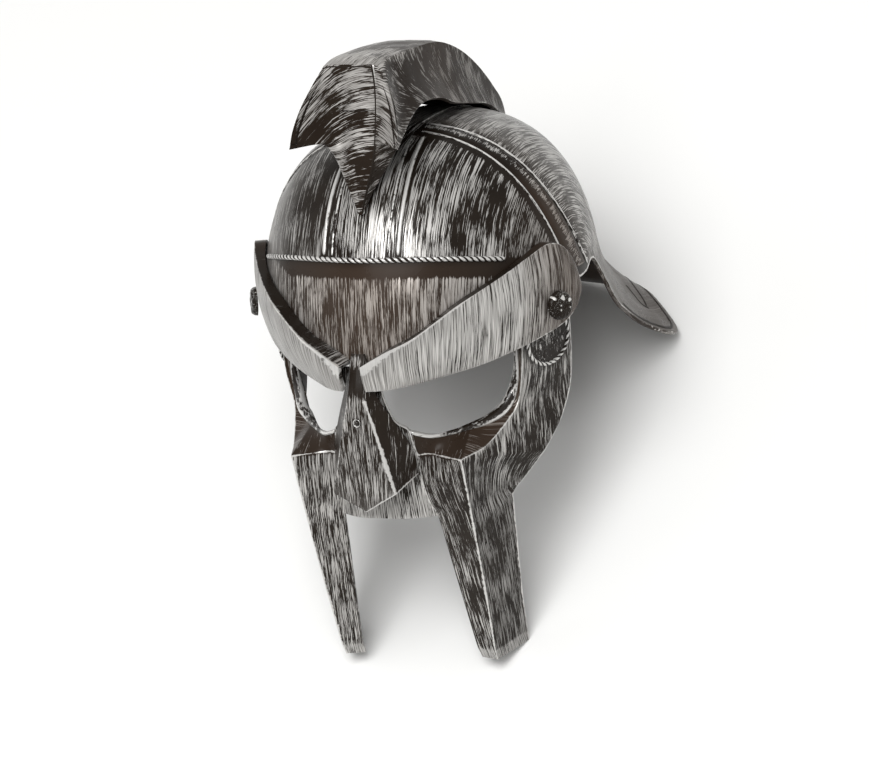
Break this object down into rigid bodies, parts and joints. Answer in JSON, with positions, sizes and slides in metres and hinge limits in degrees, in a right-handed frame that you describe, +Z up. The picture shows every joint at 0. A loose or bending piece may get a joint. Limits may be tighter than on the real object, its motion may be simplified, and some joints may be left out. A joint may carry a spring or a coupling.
{
  "type": "gladiator helmet",
  "caption": "Hollow moulded dress-up gladiator helmet with a domed bowl, tall crest, brow plates, nose guard, faceted face mask and flared neck guard.",
  "frame": {"origin": "on the floor, under the middle of the helmet's box as it stands by itself on its two cheek guards and the rear edge of its neck guard", "axes": "+Z up, the face towards -Y and leant back by about 41 degrees, the wearer's left towards +X"},
  "size_m": [0.1754, 0.2658, 0.2631],
  "materials": {
    "silvered_plastic": "near-black brown moulded plastic, dry-brushed with silver paint in streaks that follow each surface",
    "dark_plastic": "bare near-black brown moulded plastic, semi-gloss, with a little silver on its high spots"
  },
  "bodies": {
    "root": {"skull": "silvered_plastic", "face_mask": "silvered_plastic", "crest": "silvered_plastic", "rope_moulding": "silvered_plastic", "nose_guard": "silvered_plastic", "nose_rivet": "dark_plastic", "brow_plate_left": "silvered_plastic", "brow_plate_right": "silvered_plastic", "stud_left": "dark_plastic", "stud_right": "dark_plastic", "temple_boss_left": "dark_plastic", "temple_boss_right": "dark_plastic"}
  },
  "joints": []
}
